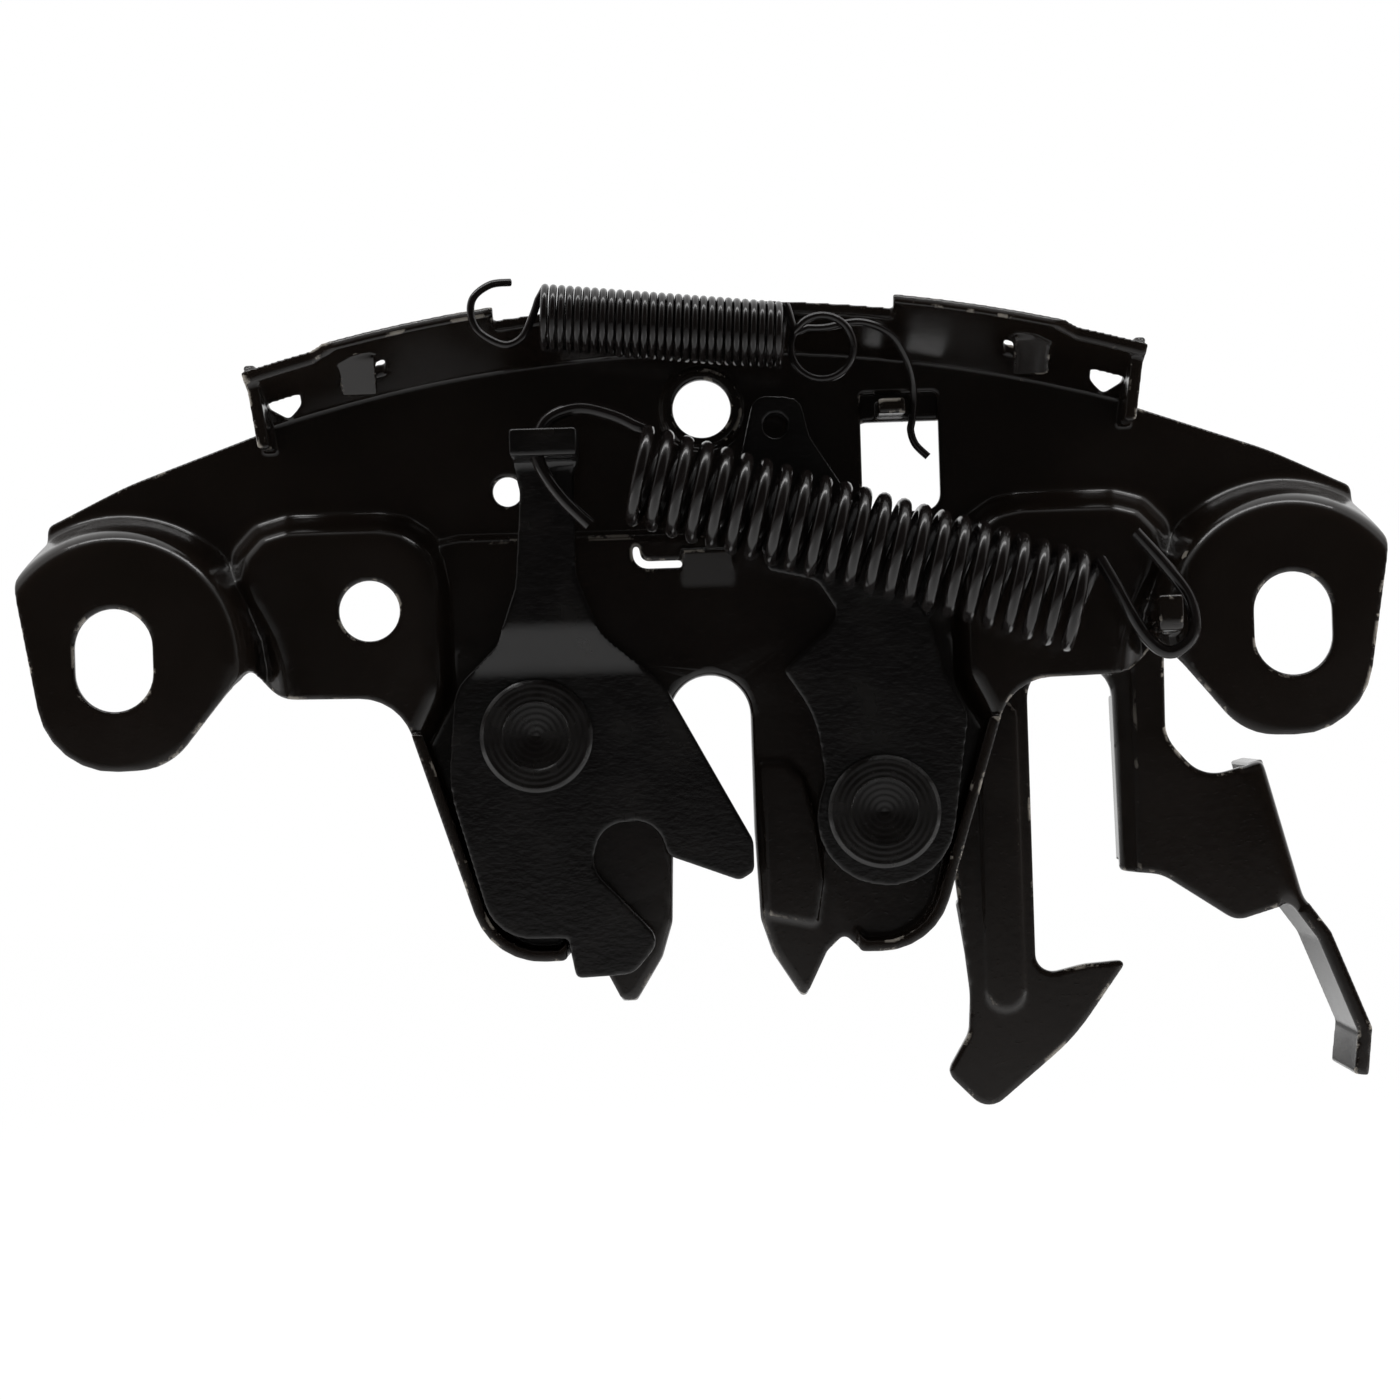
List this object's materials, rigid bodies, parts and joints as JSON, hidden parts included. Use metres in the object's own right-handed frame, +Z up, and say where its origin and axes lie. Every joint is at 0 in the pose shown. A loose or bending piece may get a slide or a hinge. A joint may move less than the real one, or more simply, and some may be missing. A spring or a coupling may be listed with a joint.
{
  "type": "bonnet latch",
  "caption": "Pressed steel bonnet latch with a sprung striker fork, a locking pawl and a hooked safety catch, bolted through slotted ears.",
  "frame": {"origin": "midway between the two mounting slots, on the back face of the ear pads", "axes": "+X across the car to the viewer's right, +Z up, +Y away from the mechanism side, into the panel it bolts to"},
  "size_m": [0.2472, 0.0575, 0.153],
  "materials": {
    "black_ecoat": "gloss",
    "black_fork": "satin",
    "black_rivet": "satin",
    "spring_wire": "gloss"
  },
  "bodies": {
    "latch_plate": {"main_plate": "black_ecoat", "fork_rivet": "black_rivet", "fork_washer": "black_rivet", "pawl_rivet": "black_rivet", "pawl_washer": "black_rivet", "pawl_spring": "spring_wire", "catch_rivet": "black_rivet", "catch_washer": "black_rivet", "fork_spring": "spring_wire", "catch_spring": "spring_wire"},
    "fork": {"fork": "black_fork"},
    "pawl": {"pawl": "black_fork"},
    "catch": {"safety_catch": "black_ecoat"}
  },
  "joints": [
    {"name": "fork_turn", "type": "hinge", "parent": "latch_plate", "child": "fork", "pos_m": [-0.0307, 0.0057, -0.016], "axis": [0, -1, 0], "range_deg": [0, 52], "stiffness_Nm_per_rad": 0.3, "springref_deg": -28.65, "deforming": ["fork_spring"]},
    {"name": "pawl_turn", "type": "hinge", "parent": "latch_plate", "child": "pawl", "pos_m": [0.0317, 0.0057, -0.0316], "axis": [0, 1, 0], "range_deg": [-9.2, 2], "stiffness_Nm_per_rad": 0.2, "deforming": ["pawl_spring"]},
    {"name": "catch_turn", "type": "hinge", "parent": "latch_plate", "child": "catch", "pos_m": [0.0359, 0.0162, 0.008], "axis": [0, 1, 0], "range_deg": [0, 9.5], "stiffness_Nm_per_rad": 0.3, "springref_deg": -17.19, "deforming": ["catch_spring"]}
  ]
}
